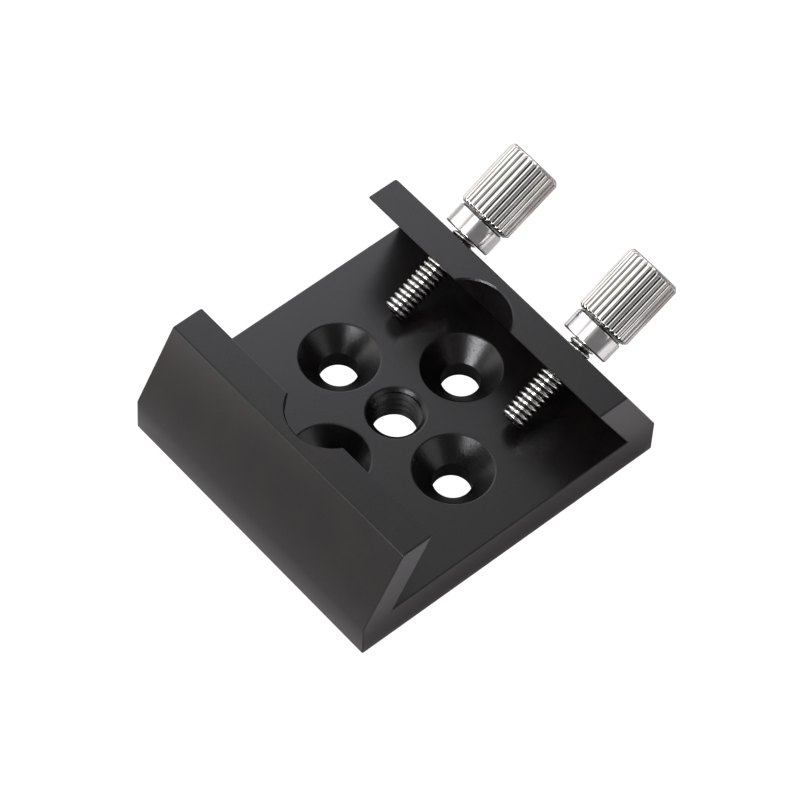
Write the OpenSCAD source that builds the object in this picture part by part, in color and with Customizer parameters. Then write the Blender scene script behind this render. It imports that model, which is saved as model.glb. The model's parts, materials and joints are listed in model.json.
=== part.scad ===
// Dovetail clamp: a slotted base that grips a dovetail bar between its front rail
// and two knurled thumbscrews in its back rail.
// X runs along the rails, Y from the front rail to the back one, Z up.
// The origin is the axis of the centre thread, on the underside.

/* [Body] */
// Length of the body along the rails
body_l = 60; // [48:1:90]
// Width of the body over its two outer edges
body_w = 66; // [60:1:90]
// Thickness of the base plate under the slot
base_t = 7.5; // [6:0.5:12]
// Height of the rails above the slot floor
rail_h = 15; // [12.5:0.5:20]
// Width of the flat top of each rail
rail_top_w = 6.4; // [5:0.1:9]
// Height of the upright outer edge, below the outer flank
edge_h = 7.5; // [5:0.5:9]
// Lean of the rails' inner and outer flanks away from upright, in degrees
flank_angle = 28; // [24:1:32]

/* [Centre thread] */
// Crest diameter of the tapped centre hole
centre_bore_d = 8; // [5:0.1:10]
// Depth of the 45 degree chamfer at the mouth of the centre hole
centre_chamfer = 1.4; // [0.4:0.1:2]

/* [Bolt holes] */
// Diameter of the circle that the four bolt holes lie on
bolt_circle_d = 30; // [28:1:36]
// Diameter of each bolt hole
bolt_hole_d = 7; // [5:0.1:8]
// Diameter of each countersink at the slot floor
countersink_d = 14.5; // [11:0.1:15]
// Full angle of the countersinks, in degrees
countersink_angle = 90; // [82:1:100]
// Room between a countersink and the scallop in the rail beside it
scallop_room = 0.75; // [0.2:0.05:2]

/* [Thumbscrews] */
// Distance between the axes of the two thumbscrews
screw_spacing = 30; // [24:1:40]
// Distance from the top of the rail down to where a screw's axis leaves the outer flank
screw_drop = 4.8; // [4:0.1:5.5]
// Outer diameter of the screw thread
stud_d = 4.8; // [4:0.1:6]
// Room all round the thread in its tapped hole
thread_room = 0.05; // [0.02:0.01:0.1]
// Chamfer at the tip of the screw
tip_chamfer = 0.6; // [0.3:0.1:1]
// Height of the left screw's tip above the slot floor
tip_gap = 0.25; // [0.2:0.05:1]
// Gap between the left screw's collar and the rail
left_gap = 0.9; // [0.6:0.1:3]
// Gap between the right screw's collar and the rail
right_gap = 1.5; // [0.6:0.1:3]

/* [Screw heads] */
// Diameter of the smooth collar
collar_d = 9.6; // [8:0.1:12]
// Length of the smooth collar
collar_l = 4.3; // [3:0.1:8]
// Chamfer round the ends of the collar
collar_chamfer = 0.4; // [0.2:0.1:1]
// Diameter of the knurled head over its teeth
head_d = 11; // [9:0.1:16]
// Length of the knurled head
head_l = 13.5; // [10:0.5:20]
// Chamfer round the ends of the knurled head
head_chamfer = 0.7; // [0.3:0.1:1.2]
// Number of teeth round the knurled head
tooth_count = 30; // [20:1:40]
// Depth of the grooves between the teeth
tooth_depth = 0.45; // [0.2:0.05:0.7]
// Share of the tooth spacing that the flat of a tooth takes
tooth_land = 0.6; // [0.4:0.05:0.7]
// Diameter of the plain shank inside the collar and the head
shank_d = 4; // [3:0.1:4.5]
// Length of the shank that is pressed into the head
shank_bite = 8; // [5:0.5:9]
// Space left past the end of the shank in the head's blind bore
bore_relief = 0.5; // [0.2:0.1:1]
// Room all round the shank in the collar
collar_room = 0.05; // [0.02:0.01:0.1]
// Play between the collar and the faces on either side of it
face_play = 0.05; // [0.02:0.01:0.1]

/* [Hidden] */
$fn = 96;
black = "#2b2b2e";
steel = "#c9c9cc";
// How far a cut runs past the face that it opens
overcut = 1;

body_h = base_t + rail_h;
outer_run = (body_h - edge_h) * tan(flank_angle);
inner_run = rail_h * tan(flank_angle);
lip_y = body_w / 2 - outer_run - rail_top_w;
foot_y = lip_y + inner_run;
wall = rail_top_w * cos(flank_angle);
countersink_depth = (countersink_d - bolt_hole_d) / 2 / tan(countersink_angle / 2);
scallop_d = countersink_d + 2 * scallop_room;

screw_rise = rail_h - screw_drop;
axis_z = base_t + screw_rise;
axis_y = body_w / 2 - (axis_z - edge_h) * tan(flank_angle);
// Length of screw below the outer flank that brings the left tip down to its gap
reach = tip_chamfer
    + (screw_rise - stud_d / 2 * cos(flank_angle) - tip_gap) / sin(flank_angle);
stud_l = reach + left_gap;

// The section of the body, across the rails
module body_section() {
    polygon([
        [-body_w / 2, 0],
        [body_w / 2, 0],
        [body_w / 2, edge_h],
        [body_w / 2 - outer_run, body_h],
        [lip_y, body_h],
        [foot_y, base_t],
        [-foot_y, base_t],
        [-lip_y, body_h],
        [outer_run - body_w / 2, body_h],
        [-body_w / 2, edge_h]
    ]);
}

// Stands a screw's own Z axis square to the outer flank of the back rail,
// with the underside of its collar this far off the flank
module on_screw_axis(x, gap = 0) {
    translate([x, axis_y, axis_z])
        rotate([flank_angle - 90, 0, 0])
            translate([0, 0, gap])
                children();
}

module centre_hole() {
    translate([0, 0, -overcut])
        cylinder(d = centre_bore_d, h = base_t + 2 * overcut);
    translate([0, 0, base_t - centre_chamfer])
        cylinder(d1 = centre_bore_d, d2 = centre_bore_d + 2 * centre_chamfer, h = centre_chamfer);
    translate([0, 0, base_t])
        cylinder(d = centre_bore_d + 2 * centre_chamfer, h = overcut);
}

module bolt_hole() {
    translate([0, 0, -overcut])
        cylinder(d = bolt_hole_d, h = base_t + 2 * overcut);
    translate([0, 0, base_t - countersink_depth])
        cylinder(d1 = bolt_hole_d, d2 = countersink_d, h = countersink_depth);
    translate([0, 0, base_t])
        cylinder(d = countersink_d, h = overcut);
}

// Clears the rail above a bolt hole, so that a bolt and its driver can reach it
module scallop() {
    translate([0, 0, base_t])
        cylinder(d = scallop_d, h = rail_h + overcut);
}

module tapped_hole() {
    translate([0, 0, -wall - overcut])
        cylinder(d = stud_d + 2 * thread_room, h = wall + 2 * overcut);
}

module clamp_body() {
    color(black)
        difference() {
            rotate([90, 0, 90])
                linear_extrude(body_l, center = true)
                    body_section();
            centre_hole();
            for (turn = [0:90:270])
                rotate([0, 0, turn])
                    translate([bolt_circle_d / 2, 0, 0])
                        bolt_hole();
            for (side = [-1, 1])
                translate([0, side * bolt_circle_d / 2, 0])
                    scallop();
            for (side = [-1, 1])
                on_screw_axis(side * screw_spacing / 2)
                    tapped_hole();
        }
}

// A round bar from z = 0 up, with the same 45 degree chamfer at both ends
module chamfered_bar(d, l, chamfer) {
    rotate_extrude()
        polygon([
            [0, 0],
            [d / 2 - chamfer, 0],
            [d / 2, chamfer],
            [d / 2, l - chamfer],
            [d / 2 - chamfer, l],
            [0, l]
        ]);
}

// One flat tooth and one V groove for each step round the head
module tooth_ring() {
    step = 360 / tooth_count;
    land = step * tooth_land;
    polygon([
        for (i = [0:tooth_count - 1])
            for (p = [[0, head_d / 2], [land, head_d / 2], [(land + step) / 2, head_d / 2 - tooth_depth]])
                p[1] * [cos(i * step + p[0]), sin(i * step + p[0])]
    ]);
}

module knurled_head() {
    color(steel)
        translate([0, 0, collar_l + face_play])
            difference() {
                intersection() {
                    linear_extrude(head_l)
                        tooth_ring();
                    chamfered_bar(head_d, head_l, head_chamfer);
                }
                translate([0, 0, -overcut])
                    cylinder(d = shank_d, h = shank_bite + bore_relief + overcut);
            }
}

module collar() {
    color(steel)
        difference() {
            chamfered_bar(collar_d, collar_l, collar_chamfer);
            translate([0, 0, -overcut])
                cylinder(d = shank_d + 2 * collar_room, h = collar_l + 2 * overcut);
        }
}

module stud() {
    shank_l = collar_l + 2 * face_play + shank_bite;
    color(steel)
        rotate_extrude()
            polygon([
                [0, -stud_l],
                [stud_d / 2 - tip_chamfer, -stud_l],
                [stud_d / 2, tip_chamfer - stud_l],
                [stud_d / 2, -face_play],
                [shank_d / 2, -face_play],
                [shank_d / 2, shank_l - face_play],
                [0, shank_l - face_play]
            ]);
}

module left_screw() {
    on_screw_axis(-screw_spacing / 2, left_gap)
        children();
}

module right_screw() {
    on_screw_axis(screw_spacing / 2, right_gap)
        children();
}

clamp_body();
left_screw() knurled_head();  // left_knurled_head
left_screw() collar();  // left_collar
left_screw() stud();  // left_stud
right_screw() knurled_head();  // right_knurled_head
right_screw() collar();  // right_collar
right_screw() stud();  // right_stud
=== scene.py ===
import json
import math

import bmesh
import bpy
from mathutils import Matrix, Quaternion, Vector


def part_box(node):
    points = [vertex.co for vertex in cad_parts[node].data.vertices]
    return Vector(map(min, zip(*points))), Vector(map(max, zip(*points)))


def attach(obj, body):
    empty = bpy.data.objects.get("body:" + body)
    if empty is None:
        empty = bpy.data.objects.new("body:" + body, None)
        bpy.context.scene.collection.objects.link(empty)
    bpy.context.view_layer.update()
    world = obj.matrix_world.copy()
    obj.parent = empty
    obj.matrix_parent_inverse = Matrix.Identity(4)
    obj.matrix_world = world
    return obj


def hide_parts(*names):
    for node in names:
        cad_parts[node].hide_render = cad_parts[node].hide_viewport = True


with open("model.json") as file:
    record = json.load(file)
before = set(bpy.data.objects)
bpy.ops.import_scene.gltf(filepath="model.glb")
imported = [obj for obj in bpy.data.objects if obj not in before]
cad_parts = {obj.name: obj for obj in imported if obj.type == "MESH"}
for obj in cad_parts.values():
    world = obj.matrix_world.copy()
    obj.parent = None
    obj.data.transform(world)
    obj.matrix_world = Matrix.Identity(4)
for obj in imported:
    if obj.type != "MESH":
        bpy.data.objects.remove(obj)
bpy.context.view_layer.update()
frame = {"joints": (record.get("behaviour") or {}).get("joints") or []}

# The camera stands off the slot's open end and looks down into it through a long lens, so
# that the rails stay nearly parallel. It is tipped a little, as a hand-held one is.
mm = 0.001
view_azimuth = math.radians(45.96)
view_elevation = math.radians(55.2)
view_tip = math.radians(3.93)
view_distance = 833.1 * mm
lens_length = 215.4
sensor_width = 36
nearest_seen = 10 * mm
aim = Vector((-5.29 * mm, 5.84 * mm, 0))
towards_camera = Vector((
    math.sin(view_azimuth) * math.cos(view_elevation),
    -math.cos(view_azimuth) * math.cos(view_elevation),
    math.sin(view_elevation),
))
bpy.ops.object.select_all(action="DESELECT")
bpy.ops.object.camera_add(location=aim + towards_camera * view_distance)
camera = bpy.context.object
level_view = (-towards_camera).to_track_quat("-Z", "Y")
camera.rotation_mode = "QUATERNION"
camera.rotation_quaternion = level_view @ Quaternion((0, 0, 1), view_tip)
camera.data.sensor_width = sensor_width
camera.data.lens = lens_length
camera.data.clip_start = nearest_seen
bpy.context.scene.camera = camera
bpy.context.scene.view_settings.view_transform = "Standard"

# The clamp lies on a small white card on a pale grey table, with a second card just past its
# right end, and these throw the light back at its sides. The strip of grey table left between
# the cards at the clamp's right end is painted shade for the foot of that end to reflect. A
# bright white screen stands behind all of that, and is only there for the camera to see.
table_size = 6
table_z = -0.2 * mm
table_grey = (0.47, 0.44, 0.425, 1)
card_size = 100 * mm
# The card ends at the clamp's right end and the second card starts a little past it, leaving a
# grey strip there as painted shade.
card_x = -19.5 * mm
right_card_x = 84 * mm
card_z = -0.1 * mm
card_white = (0.86, 0.85, 0.85, 1)
paper_roughness = 0.9
for name, size, place, paper in (
    ("table", table_size, (0, 0, table_z), table_grey),
    ("card", card_size, (card_x, 0, card_z), card_white),
    ("right_card", card_size, (right_card_x, 0, card_z), card_white),
):
    bpy.ops.object.select_all(action="DESELECT")
    bpy.ops.mesh.primitive_plane_add(size=size, location=place)
    sheet = bpy.context.object
    sheet.name = name
    sheet.visible_camera = False
    sheet_paper = bpy.data.materials.new(name + "_paper")
    sheet_paper.use_nodes = True
    sheet_shader = sheet_paper.node_tree.nodes["Principled BSDF"]
    sheet_shader.inputs["Base Color"].default_value = paper
    sheet_shader.inputs["Roughness"].default_value = paper_roughness
    sheet.data.materials.append(sheet_paper)

dome_r = 8
screen_z = -0.3 * mm
screen_white = bpy.data.materials.new("screen_white")
screen_white.use_nodes = True
screen_shader = screen_white.node_tree.nodes["Principled BSDF"]
screen_shader.inputs["Base Color"].default_value = (1, 1, 1, 1)
screen_shader.inputs["Emission Color"].default_value = (1, 1, 1, 1)
screen_shader.inputs["Emission Strength"].default_value = 1.0
bpy.ops.object.select_all(action="DESELECT")
bpy.ops.mesh.primitive_uv_sphere_add(radius=dome_r, location=(0, 0, 0))
dome = bpy.context.object
dome.name = "white_dome"
bpy.ops.object.select_all(action="DESELECT")
bpy.ops.mesh.primitive_plane_add(size=table_size, location=(0, 0, screen_z))
floor = bpy.context.object
floor.name = "white_floor"
for screen in (dome, floor):
    screen.data.materials.append(screen_white)
    screen.visible_diffuse = False
    screen.visible_glossy = False
    screen.visible_transmission = False
    screen.visible_shadow = False

# A white tent stands all round. It is brightest at the front left and dim at the right, and six
# soft boxes stand in it: a large one past the slot's far end, one overhead, a small and strong
# one in front of the rails, and a weaker one on each side and at the back.
bright_side = Vector((-0.78, -0.45, 0.42))
tent_ends = ((0.08, (0.20, 0.19, 0.20, 1)), (0.93, (1.5, 1.47, 1.46, 1)))
tent_greys = ((0.2, 0.26), (0.48, 0.82), (0.6, 0.88), (0.74, 0.45), (0.82, 0.7))
tent = bpy.data.worlds.new("tent")
bpy.context.scene.world = tent
tent.use_nodes = True
tent_nodes = tent.node_tree.nodes
tent_links = tent.node_tree.links
direction = tent_nodes.new("ShaderNodeTexCoord")
towards_bright = tent_nodes.new("ShaderNodeVectorMath")
towards_bright.operation = "DOT_PRODUCT"
towards_bright.inputs[1].default_value = bright_side.normalized()
fade = tent_nodes.new("ShaderNodeValToRGB")
for step, (share, colour) in zip(fade.color_ramp.elements, tent_ends):
    step.position = share
    step.color = colour
for share, grey in tent_greys:
    step = fade.color_ramp.elements.new(share)
    step.color = (grey, grey * 0.99, grey * 1.01, 1)
tent_links.new(direction.outputs["Generated"], towards_bright.inputs[0])
tent_links.new(towards_bright.outputs["Value"], fade.inputs["Fac"])
tent_links.new(fade.outputs["Color"], tent_nodes["Background"].inputs["Color"])
tent_nodes["Background"].inputs["Strength"].default_value = 1.0


def soft_box(name, aim_along, distance, width, height, radiance, colour):
    """An area light that faces the clamp, with its brightness given per area of its face."""
    along = Vector(aim_along).normalized()
    bpy.ops.object.select_all(action="DESELECT")
    bpy.ops.object.light_add(type="AREA", location=along * distance)
    box = bpy.context.object
    box.name = name
    box.rotation_euler = along.to_track_quat("Z", "Y").to_euler()
    box.data.shape = "RECTANGLE"
    box.data.size = width
    box.data.size_y = height
    box.data.energy = radiance * width * height * math.pi
    box.data.color = colour


soft_box(
    "far_soft_box", aim_along=(-0.76, 0.38, 0.58), distance=0.24,
    width=0.19, height=0.19, radiance=1.35, colour=(1.0, 0.98, 1.06),
)
soft_box(
    "overhead_soft_box", aim_along=(-0.02, -0.40, 0.88), distance=0.45,
    width=0.22, height=0.18, radiance=0.9, colour=(1.0, 1.0, 1.0),
)
soft_box(
    "front_soft_box", aim_along=(0.14, -0.84, 0.53), distance=0.40,
    width=0.22, height=0.08, radiance=21.0, colour=(1.0, 0.98, 1.02),
)
soft_box(
    "left_soft_box", aim_along=(-0.62, -0.78, 0.10), distance=0.20,
    width=0.10, height=0.08, radiance=2.6, colour=(1.0, 0.93, 0.90),
)
soft_box(
    "right_soft_box", aim_along=(0.83, 0.33, 0.45), distance=0.35,
    width=0.22, height=0.18, radiance=1.0, colour=(1.0, 0.98, 1.0),
)
soft_box(
    "back_soft_box", aim_along=(-0.30, 0.86, 0.42), distance=0.40,
    width=0.30, height=0.14, radiance=1.6, colour=(1.0, 1.0, 1.0),
)

# The clamp body is one length of aluminium: a base plate with two leaning rails. It is milled,
# its outer edges are just broken, and then it is blasted to a fine grain and anodised black.
# Use has worn two of the rails' corners round at the left end.
low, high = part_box("clamp_body")
body_l = high.x - low.x
body_w = high.y - low.y
base_t = 7.5 * mm
rail_h = high.z - base_t
rail_top_w = 6.4 * mm
flank_angle = math.radians(28)
flank_run = rail_h * math.tan(flank_angle)
foot_y = body_w / 2 - rail_top_w
edge_break = 0.3 * mm
edge_break_angle = math.radians(40)
worn_corner = 0.6 * mm
corner_steps = 3
on_plane = 0.01 * mm
faces_up = 0.9
flat_angle = math.radians(1)


def select_items(kind, test):
    """In edit mode, selects just the vertices, edges or faces that pass the test."""
    bpy.ops.mesh.select_mode(type=kind)
    bpy.ops.mesh.select_all(action="DESELECT")
    mesh = bmesh.from_edit_mesh(bpy.context.object.data)
    items = {"VERT": mesh.verts, "EDGE": mesh.edges, "FACE": mesh.faces}[kind]
    for item in items:
        if test(item):
            item.select_set(True)
    mesh.select_flush_mode()
    bmesh.update_edit_mesh(bpy.context.object.data)


def cut_across(point, normal):
    """Cuts the whole mesh along a plane and keeps both halves."""
    bpy.ops.mesh.select_all(action="SELECT")
    bpy.ops.mesh.bisect(plane_co=point, plane_no=normal)


def is_worn(edge):
    """True for the rails' two corners at the left end that are worn round."""
    middle = (edge.verts[0].co + edge.verts[1].co) / 2
    rise = abs(edge.verts[0].co.z - edge.verts[1].co.z)
    at_left_end = abs(middle.x - low.x) < on_plane and rise > rail_h / 2
    front_lip = middle.y < 0 and middle.y > -foot_y
    back_shoulder = middle.y > foot_y
    return at_left_end and (front_lip or back_shoulder)


bpy.ops.object.select_all(action="DESELECT")
bpy.ops.mesh.primitive_cube_add(
    size=1, location=(0, 0, base_t / 2), scale=(body_l, body_w, base_t)
)
body = bpy.context.object
body.name = "milled_body"
bpy.ops.object.transform_apply(location=True, rotation=True, scale=True)
bpy.ops.object.mode_set(mode="EDIT")
for side in (-1, 1):
    cut_across((0, side * foot_y, 0), (0, 1, 0))
for side in (-1, 1):
    select_items(
        "FACE", lambda f: f.normal.z > faces_up and side * f.calc_center_median().y > foot_y
    )
    bpy.ops.mesh.extrude_region_move(
        TRANSFORM_OT_translate={"value": (0, -side * flank_run, rail_h)}
    )
bpy.ops.mesh.select_all(action="SELECT")
bpy.ops.mesh.dissolve_limited(angle_limit=flat_angle)
select_items("EDGE", lambda e: e.is_convex and e.calc_face_angle() > edge_break_angle)
bpy.ops.transform.edge_bevelweight(value=edge_break / worn_corner)
select_items("EDGE", is_worn)
bpy.ops.transform.edge_bevelweight(value=1 - edge_break / worn_corner)
bpy.ops.object.mode_set(mode="OBJECT")
bpy.ops.object.modifier_add(type="BEVEL")
body.modifiers[-1].limit_method = "WEIGHT"
body.modifiers[-1].width = worn_corner
body.modifiers[-1].segments = corner_steps
bpy.ops.object.modifier_apply(modifier=body.modifiers[-1].name)


def black_anodised(name, roughness, skin_gloss, dye, grain_scale, grain_depth):
    """Black anodising: a near-black dye under a clear skin, over the grain of the metal."""
    skin_ior = 1.5
    patch_scale = 150
    thin_dye = (0.7, 0.65, 0.95)
    thick_dye = (1.9, 1.2, 1.05)
    sheen_spread = 0.05
    material = bpy.data.materials.new(name)
    material.use_nodes = True
    nodes = material.node_tree.nodes
    links = material.node_tree.links
    shader = nodes["Principled BSDF"]
    shader.inputs["Metallic"].default_value = 0.0
    shader.inputs["IOR"].default_value = skin_ior
    shader.inputs["Specular IOR Level"].default_value = skin_gloss
    place = nodes.new("ShaderNodeTexCoord")

    stretch = nodes.new("ShaderNodeMapping")
    stretch.inputs["Scale"].default_value = grain_scale
    links.new(place.outputs["Object"], stretch.inputs["Vector"])
    grains = nodes.new("ShaderNodeTexNoise")
    grains.inputs["Scale"].default_value = 1
    grains.inputs["Detail"].default_value = 3
    links.new(stretch.outputs["Vector"], grains.inputs["Vector"])
    relief = nodes.new("ShaderNodeBump")
    relief.inputs["Strength"].default_value = 1
    relief.inputs["Distance"].default_value = grain_depth
    links.new(grains.outputs["Fac"], relief.inputs["Height"])
    links.new(relief.outputs["Normal"], shader.inputs["Normal"])

    patches = nodes.new("ShaderNodeTexNoise")
    patches.inputs["Scale"].default_value = patch_scale
    patches.inputs["Detail"].default_value = 4
    links.new(place.outputs["Object"], patches.inputs["Vector"])
    dye_ramp = nodes.new("ShaderNodeValToRGB")
    dye_ramp.color_ramp.elements[0].position = 0.35
    dye_ramp.color_ramp.elements[0].color = (*(dye * share for share in thin_dye), 1)
    dye_ramp.color_ramp.elements[1].position = 0.68
    dye_ramp.color_ramp.elements[1].color = (*(dye * share for share in thick_dye), 1)
    links.new(patches.outputs["Fac"], dye_ramp.inputs["Fac"])
    speckle = nodes.new("ShaderNodeMapRange")
    speckle.inputs["From Min"].default_value = 0.3
    speckle.inputs["From Max"].default_value = 0.7
    speckle.inputs["To Min"].default_value = 0.1
    speckle.inputs["To Max"].default_value = 1.9
    links.new(grains.outputs["Fac"], speckle.inputs["Value"])
    grained_dye = nodes.new("ShaderNodeVectorMath")
    grained_dye.operation = "SCALE"
    links.new(dye_ramp.outputs["Color"], grained_dye.inputs[0])
    links.new(speckle.outputs["Result"], grained_dye.inputs["Scale"])
    links.new(grained_dye.outputs["Vector"], shader.inputs["Base Color"])

    sheen = nodes.new("ShaderNodeMapRange")
    sheen.inputs["To Min"].default_value = roughness - sheen_spread
    sheen.inputs["To Max"].default_value = roughness + sheen_spread
    links.new(patches.outputs["Fac"], sheen.inputs["Value"])
    links.new(sheen.outputs["Result"], shader.inputs["Roughness"])
    return material


blasted_black = black_anodised(
    "blasted_black", roughness=0.31, skin_gloss=0.5, dye=0.002,
    grain_scale=(3000, 3000, 3000), grain_depth=0.012 * mm,
)
body.data.materials.clear()
body.data.materials.append(blasted_black)

# The holes are drilled and countersunk from the slot before anodising, so their walls keep the
# cutter's rings, and the bores are duller than the rest. A scallop in each rail lets the driver
# reach the holes beside it, and the screws' holes go square through the back rail.
drilled_black = black_anodised(
    "drilled_black", roughness=0.31, skin_gloss=0.5, dye=0.002,
    grain_scale=(1500, 1500, 4500), grain_depth=0.03 * mm,
)
bored_black = black_anodised(
    "bored_black", roughness=0.6, skin_gloss=0.25, dye=0.002,
    grain_scale=(2000, 2000, 3000), grain_depth=0.03 * mm,
)
body.data.materials.append(drilled_black)
body.data.materials.append(bored_black)
drilled_finish = 1
bored_finish = 2
round_steps = 96
bolt_circle_r = 15 * mm
bolt_count = 4
bolt_hole_r = 3.5 * mm
countersink_r = 7.25 * mm
countersink_depth = countersink_r - bolt_hole_r
rim_break = 0.2 * mm
scallop_r = 8 * mm
scallop_floor = base_t + 2 * mm
screw_hole_r = 2.45 * mm
screw_drill_overrun = 4 * mm
clear = 1 * mm
weld = 0.001 * mm


def draw_section(name, points):
    """Draws half a section as a line, point by point, from (radius, height) pairs."""
    bpy.ops.object.select_all(action="DESELECT")
    bpy.ops.mesh.primitive_plane_add(size=mm)
    drawn = bpy.context.object
    drawn.name = name
    bpy.ops.object.mode_set(mode="EDIT")
    bpy.ops.mesh.select_mode(type="VERT")
    bpy.ops.mesh.select_all(action="SELECT")
    bpy.ops.mesh.merge(type="CENTER")
    bpy.ops.transform.translate(value=(points[0][0], 0, points[0][1]))
    for (r, z), (next_r, next_z) in zip(points, points[1:]):
        bpy.ops.mesh.extrude_region_move(
            TRANSFORM_OT_translate={"value": (next_r - r, 0, next_z - z)}
        )
    return drawn


def close_up():
    """In edit mode, joins what meets, turns every face outwards and leaves edit mode."""
    bpy.ops.mesh.select_all(action="SELECT")
    bpy.ops.mesh.remove_doubles(threshold=weld)
    bpy.ops.mesh.normals_make_consistent(inside=False)
    bpy.ops.object.mode_set(mode="OBJECT")


def turn_solid(name, points):
    """Turns a section round the Z axis into a closed solid."""
    turned = draw_section(name, points)
    bpy.ops.mesh.select_all(action="SELECT")
    bpy.ops.mesh.spin(steps=round_steps, angle=2 * math.pi, center=(0, 0, 0), axis=(0, 0, 1))
    close_up()
    return turned


def take_up(piece):
    """Makes a piece the only one selected, and the active one."""
    bpy.ops.object.select_all(action="DESELECT")
    bpy.context.view_layer.objects.active = piece
    piece.select_set(True)


def copy_to(piece, name, place):
    """Copies a piece with its own mesh, and writes the copy's place into that mesh."""
    take_up(piece)
    bpy.ops.object.duplicate(linked=False)
    copy = bpy.context.object
    copy.name = name
    copy.matrix_world = place
    bpy.ops.object.transform_apply(location=True, rotation=True, scale=True)
    return copy


def combine(piece, tool, operation):
    """Cuts, joins or trims a piece with a tool, which is used up."""
    take_up(piece)
    bpy.ops.object.modifier_add(type="BOOLEAN")
    modifier = piece.modifiers[-1]
    modifier.operation = operation
    modifier.solver = "MANIFOLD"
    modifier.object = tool
    bpy.ops.object.modifier_apply(modifier=modifier.name)
    bpy.data.objects.remove(tool)


def cut_body(tool, places):
    """Cuts the same hole in the body at each place. Its walls are drilled unless marked bored."""
    for finish in body.data.materials:
        tool.data.materials.append(finish)
    for face in tool.data.polygons:
        face.material_index = max(face.material_index, drilled_finish)
    for place in places:
        combine(body, copy_to(tool, tool.name + "_copy", place), "DIFFERENCE")
    bpy.data.objects.remove(tool)


def smooth(piece, angle):
    """Shades curved faces smooth and keeps real edges sharp and flat faces flat."""
    take_up(piece)
    bpy.ops.object.shade_smooth_by_angle(angle=math.radians(angle))
    bpy.ops.object.modifier_add(type="WEIGHTED_NORMAL")
    piece.modifiers[-1].keep_sharp = True
    bpy.ops.object.modifier_apply(modifier=piece.modifiers[-1].name)


def broken_rim(radius, face):
    """The last points of a cutter that leaves two short facets at a hole's rim in a face."""
    return [
        (radius - rim_break, face - rim_break),
        (radius - rim_break * 0.3, face - rim_break * 0.45),
        (radius + rim_break * 4, face + rim_break),
        (0, face + rim_break),
    ]


bolt_drill = turn_solid("bolt_drill", [
    (0, -clear),
    (bolt_hole_r + rim_break + clear, -clear),
    (bolt_hole_r, rim_break),
    (bolt_hole_r, base_t - countersink_depth),
    *broken_rim(countersink_r, base_t),
])
upright = 0.1
for face in bolt_drill.data.polygons:
    if abs(face.normal.z) < upright and face.center.z < base_t - countersink_depth:
        face.material_index = bored_finish
cut_body(bolt_drill, [
    Matrix.Rotation(turn * math.pi / 2, 4, "Z") @ Matrix.Translation((bolt_circle_r, 0, 0))
    for turn in range(bolt_count)
])

top_z = base_t + rail_h
scallop_cutter = turn_solid("scallop_cutter", [
    (0, scallop_floor),
    (scallop_r, scallop_floor),
    (scallop_r, top_z - rim_break * 1.3),
    (scallop_r + rim_break * 2.3, top_z + rim_break),
    (0, top_z + rim_break),
])
cut_body(scallop_cutter, [
    Matrix.Translation((0, -bolt_circle_r, 0)),
    Matrix.Translation((0, bolt_circle_r, 0)),
])

# Each screw's place comes from the frame: its hinge lies where the underside of its collar
# is at rest, and points out along the screw.
screw_places = {}
for joint in frame["joints"]:
    if joint["type"] == "hinge":
        turned_to = Vector(joint["axis"]).to_track_quat("Z", "Y").to_matrix().to_4x4()
        screw_places[joint["child"]] = Matrix.Translation(joint["pos_m"]) @ turned_to
wall = rail_top_w * math.cos(flank_angle)
screw_drill = turn_solid("screw_drill", [
    (0, -wall - screw_drill_overrun),
    (screw_hole_r, -wall - screw_drill_overrun),
    (screw_hole_r, clear),
    (0, clear),
])
cut_body(screw_drill, screw_places.values())

# The centre hole is tapped right through for a 3/8 inch mounting screw, 16 threads to the
# inch, with a wide chamfer at the slot and a small one underneath. The thread form is one V,
# from the inner side out and back again, in shares of the pitch and of the depth.
mm_per_inch = 25.4
centre_pitch = mm_per_inch / 16 * mm
centre_crest_r = 4.0 * mm
centre_root_r = 4.76 * mm
centre_chamfer = 1.4 * mm
under_chamfer = 0.8 * mm
thread_form = [(0.0, 0.0), (0.08, 0.0), (0.34, 0.84), (0.38, 0.93), (0.42, 0.985), (0.47, 1.0)]
form_end = 1.08
thread_form += [(form_end - share, height) for share, height in reversed(thread_form[1:])]
thread_steps = 48
turns_before = 2
turns_to_spare = 3


def wind_thread(name, inner_r, outer_r, pitch, bottom, top):
    """A right-hand thread that runs past both heights: one V is drawn and then wound up."""
    start = bottom - turns_before * pitch
    depth = outer_r - inner_r
    wound = draw_section(name, [
        (inner_r + depth * height, start + pitch * share) for share, height in thread_form
    ])
    bpy.ops.object.mode_set(mode="OBJECT")
    bpy.ops.object.modifier_add(type="SCREW")
    modifier = wound.modifiers[-1]
    modifier.steps = thread_steps
    modifier.render_steps = thread_steps
    modifier.screw_offset = pitch
    modifier.iterations = math.ceil((top - bottom) / pitch) + turns_to_spare
    bpy.ops.object.modifier_apply(modifier=modifier.name)
    bpy.ops.object.mode_set(mode="EDIT")
    bpy.ops.mesh.select_all(action="SELECT")
    bpy.ops.mesh.remove_doubles(threshold=weld)
    bpy.ops.mesh.select_all(action="SELECT")
    bpy.ops.mesh.fill_holes(sides=0)
    close_up()
    return wound


centre_tap = wind_thread(
    "centre_tap", centre_crest_r, centre_root_r, centre_pitch, -clear, base_t + clear
)
cut_body(centre_tap, [Matrix.Identity(4)])
mouth_r = centre_crest_r + centre_chamfer
mouth_cutter = turn_solid("mouth_cutter", [
    (0, base_t - centre_chamfer),
    (centre_crest_r, base_t - centre_chamfer),
    *broken_rim(mouth_r, base_t),
])
cut_body(mouth_cutter, [Matrix.Identity(4)])
under_cutter = turn_solid("under_cutter", [
    (0, -clear),
    (centre_crest_r + under_chamfer + clear, -clear),
    (centre_crest_r - under_chamfer, under_chamfer * 2),
    (0, under_chamfer * 2),
])
cut_body(under_cutter, [Matrix.Identity(4)])
smooth(body, angle=35)
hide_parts("clamp_body")
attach(body, "clamp")

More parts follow.
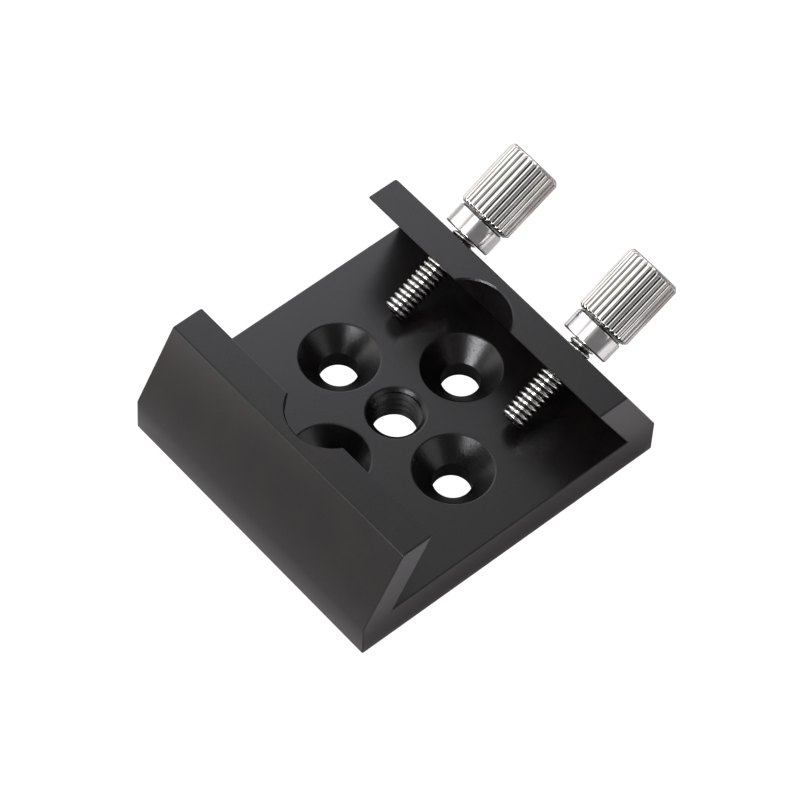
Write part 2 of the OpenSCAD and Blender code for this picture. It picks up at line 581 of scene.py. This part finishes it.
# Each thumbscrew's stud is a bright steel screw with a rolled thread, 24 to the inch, and a
# chamfered tip. Above the thread a plain shank goes through the collar into the head.
stud_r = 2.4 * mm
stud_root_r = 1.83 * mm
stud_pitch = mm_per_inch / 24 * mm
stud_l = 18.18 * mm
tip_chamfer = 0.6 * mm
face_play = 0.05 * mm
tip_margin = 0.1 * mm
shank_r = 2.0 * mm
shank_core_r = stud_root_r * 0.9
shank_bite = 8 * mm
collar_l = 4.3 * mm
head_start = collar_l + face_play
shank_top = head_start + shank_bite


def mark_turning(piece, top_radius):
    """Stores how far along the turned section and how deep in a groove each point lies."""
    turning = piece.data.attributes.new("turning", "FLOAT", "POINT")
    groove = piece.data.attributes.new("groove", "FLOAT", "POINT")
    for point, along, depth in zip(piece.data.vertices, turning.data, groove.data):
        radius = math.hypot(point.co.x, point.co.y)
        along.value = point.co.z - radius
        depth.value = max(0, top_radius(point.co.z) - radius)


def turned_steel(name, colour, roughness, ring_width, ring_depth, groove_depth):
    """Turned steel: bright metal with the lathe's fine rings, and painted shade down in the
    grooves.
    """
    haze_scale = 700
    hazed = 0.88
    # The painted shade at the bottom of a groove, as a share of the colour.
    groove_shade_dark = 0.1
    material = bpy.data.materials.new(name)
    material.use_nodes = True
    nodes = material.node_tree.nodes
    links = material.node_tree.links
    shader = nodes["Principled BSDF"]
    shader.inputs["Metallic"].default_value = 1.0

    turning = nodes.new("ShaderNodeAttribute")
    turning.attribute_name = "turning"
    rings = nodes.new("ShaderNodeTexNoise")
    rings.noise_dimensions = "1D"
    rings.inputs["Scale"].default_value = 1 / ring_width
    rings.inputs["Detail"].default_value = 2
    links.new(turning.outputs["Fac"], rings.inputs["W"])
    relief = nodes.new("ShaderNodeBump")
    relief.inputs["Strength"].default_value = 1
    relief.inputs["Distance"].default_value = ring_depth
    links.new(rings.outputs["Fac"], relief.inputs["Height"])
    links.new(relief.outputs["Normal"], shader.inputs["Normal"])

    place = nodes.new("ShaderNodeTexCoord")
    haze = nodes.new("ShaderNodeTexNoise")
    haze.inputs["Scale"].default_value = haze_scale
    haze.inputs["Detail"].default_value = 4
    links.new(place.outputs["Object"], haze.inputs["Vector"])
    tint = nodes.new("ShaderNodeValToRGB")
    tint.color_ramp.elements[0].position = 0.3
    tint.color_ramp.elements[0].color = (*(share * hazed for share in colour), 1)
    tint.color_ramp.elements[1].position = 0.7
    tint.color_ramp.elements[1].color = (*colour, 1)
    links.new(haze.outputs["Fac"], tint.inputs["Fac"])
    # Painted shade: the colour darkens to a tenth with a groove's depth, in thread roots, knurl
    # grooves and the collar's neck.
    groove = nodes.new("ShaderNodeAttribute")
    groove.attribute_name = "groove"
    groove_shade = nodes.new("ShaderNodeMapRange")
    groove_shade.interpolation_type = "SMOOTHSTEP"
    groove_shade.inputs["From Min"].default_value = groove_depth * 0.15
    groove_shade.inputs["From Max"].default_value = groove_depth
    groove_shade.inputs["To Min"].default_value = 1.0
    groove_shade.inputs["To Max"].default_value = groove_shade_dark
    links.new(groove.outputs["Fac"], groove_shade.inputs["Value"])
    groove_shaded = nodes.new("ShaderNodeVectorMath")
    groove_shaded.operation = "SCALE"
    links.new(tint.outputs["Color"], groove_shaded.inputs[0])
    links.new(groove_shade.outputs["Result"], groove_shaded.inputs["Scale"])
    links.new(groove_shaded.outputs["Vector"], shader.inputs["Base Color"])

    wear = nodes.new("ShaderNodeMapRange")
    wear.inputs["To Min"].default_value = roughness * 0.7
    wear.inputs["To Max"].default_value = roughness * 1.3
    links.new(haze.outputs["Fac"], wear.inputs["Value"])
    links.new(wear.outputs["Result"], shader.inputs["Roughness"])
    return material


stud = wind_thread("stud", stud_root_r, stud_r, stud_pitch, -stud_l, -face_play)
tip_shape = turn_solid("tip_shape", [
    (0, -stud_l),
    (stud_r - tip_chamfer, -stud_l),
    (stud_r + tip_margin, tip_chamfer + tip_margin - stud_l),
    (stud_r + tip_margin, -face_play),
    (0, -face_play),
])
combine(stud, tip_shape, "INTERSECT")
shank = turn_solid("shank", [
    (0, -stud_l / 2),
    (shank_core_r, -stud_l / 2),
    (shank_core_r, -face_play / 2),
    (shank_r, -face_play / 2),
    (shank_r, shank_top),
    (0, shank_top),
])
combine(stud, shank, "UNION")
# The thread's roots are darkened as painted shade by how deep they lie below the crests.
mark_turning(stud, lambda z: stud_r if z < -face_play else shank_r)
rolled_steel = turned_steel(
    "rolled_steel", colour=(0.88, 0.87, 0.85), roughness=0.14,
    ring_width=0.15 * mm, ring_depth=0.001 * mm, groove_depth=stud_r - stud_root_r,
)
stud.data.materials.clear()
stud.data.materials.append(rolled_steel)
smooth(stud, angle=40)
for screw, place in screw_places.items():
    side = screw.removesuffix("_screw")
    placed = copy_to(stud, side + "_rolled_stud", place)
    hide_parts(side + "_stud")
    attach(placed, screw)
bpy.data.objects.remove(stud)

# The collar under each head is turned smooth and polished, with its corners broken. A narrow
# neck parts it from the head, and it bears on the rail if a screw goes all the way home.
collar_r = 4.8 * mm
collar_break = 0.35 * mm
collar_bore_r = 2.05 * mm
neck_r = 4.4 * mm
neck_l = 0.3 * mm
collar = turn_solid("collar", [
    (collar_bore_r, 0),
    (collar_r - collar_break, 0),
    (collar_r - collar_break * 0.3, collar_break * 0.3),
    (collar_r, collar_break),
    (collar_r, collar_l - neck_l - collar_break * 0.5),
    (collar_r - collar_break * 0.5, collar_l - neck_l),
    (neck_r, collar_l - neck_l),
    (neck_r, collar_l),
    (collar_bore_r, collar_l),
    (collar_bore_r, 0),
])
# The neck is darkened as painted shade, standing in for the shadow under the head's edge.
neck_start = collar_l - neck_l * 1.1
mark_turning(collar, lambda z: collar_r if z > neck_start else 0)
polished_steel = turned_steel(
    "polished_steel", colour=(0.86, 0.85, 0.84), roughness=0.1,
    ring_width=0.12 * mm, ring_depth=0.0015 * mm, groove_depth=collar_r - neck_r,
)
collar.data.materials.append(polished_steel)
smooth(collar, angle=50)
for screw, place in screw_places.items():
    side = screw.removesuffix("_screw")
    placed = copy_to(collar, side + "_polished_collar", place)
    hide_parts(side + "_collar")
    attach(placed, screw + "_travel")
bpy.data.objects.remove(collar)

# Each head is a turned steel knob with thirty straight teeth pressed in by a knurling wheel,
# so the teeth have broad crowned tops and narrow grooves, and run out on the chamfers. The
# tooth shares say how far in the surface lies across one tooth, from crown to groove and back.
head_r = 5.5 * mm
head_l = 13.5 * mm
head_chamfer = 0.7 * mm
tooth_count = 30
tooth_depth = 0.45 * mm
tooth_shares = [0.0, 0.01, 0.03, 0.12, 0.55, 1.0, 0.55, 0.12, 0.03, 0.01]
chamfer_shares = (0, 0.4, 0.75, 1)
bore_l = shank_bite + 0.5 * mm
bore_cone_l = 1 * mm
points_round = tooth_count * len(tooth_shares)
head_end = head_start + head_l
bpy.ops.object.select_all(action="DESELECT")
bpy.ops.mesh.primitive_cylinder_add(
    vertices=points_round, radius=head_r, depth=head_l,
    location=(0, 0, (head_start + head_end) / 2),
)
head = bpy.context.object
head.name = "head"
bpy.ops.object.transform_apply(location=True, rotation=True, scale=True)
bpy.ops.object.mode_set(mode="EDIT")
levels = []
for share in chamfer_shares:
    radius = head_r - head_chamfer * (1 - share)
    levels.append((head_start + head_chamfer * share, radius))
    levels.append((head_end - head_chamfer * share, radius))
for height, _ in levels:
    if head_start < height < head_end:
        cut_across((0, 0, height), (0, 0, 1))
for height, radius in levels:
    for spoke, share in enumerate(tooth_shares):
        def on_line(point):
            turn = round(math.atan2(point.co.x, point.co.y) / (2 * math.pi) * points_round)
            return abs(point.co.z - height) < on_plane and turn % len(tooth_shares) == spoke
        select_items("VERT", on_line)
        size = min(head_r - tooth_depth * share, radius) / head_r
        bpy.ops.transform.resize(value=(size, size, 1), center_override=(0, 0, 0))
close_up()
head_bore = turn_solid("head_bore", [
    (0, head_start - clear),
    (shank_r, head_start - clear),
    (shank_r, head_start + bore_l),
    (0, head_start + bore_l + bore_cone_l),
])
combine(head, head_bore, "DIFFERENCE")
# The knurl's grooves are darkened as painted shade by their depth below the tooth tops.
mark_turning(
    head, lambda z: head_r - max(0, head_chamfer - (z - head_start), head_chamfer - (head_end - z))
)
knurled_steel = turned_steel(
    "knurled_steel", colour=(0.86, 0.85, 0.82), roughness=0.15,
    ring_width=0.2 * mm, ring_depth=0.002 * mm, groove_depth=tooth_depth,
)
head.data.materials.clear()
head.data.materials.append(knurled_steel)
smooth(head, angle=50)
for screw, place in screw_places.items():
    side = screw.removesuffix("_screw")
    placed = copy_to(head, side + "_knurled_knob", place)
    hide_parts(side + "_knurled_head")
    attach(placed, screw)
bpy.data.objects.remove(head)
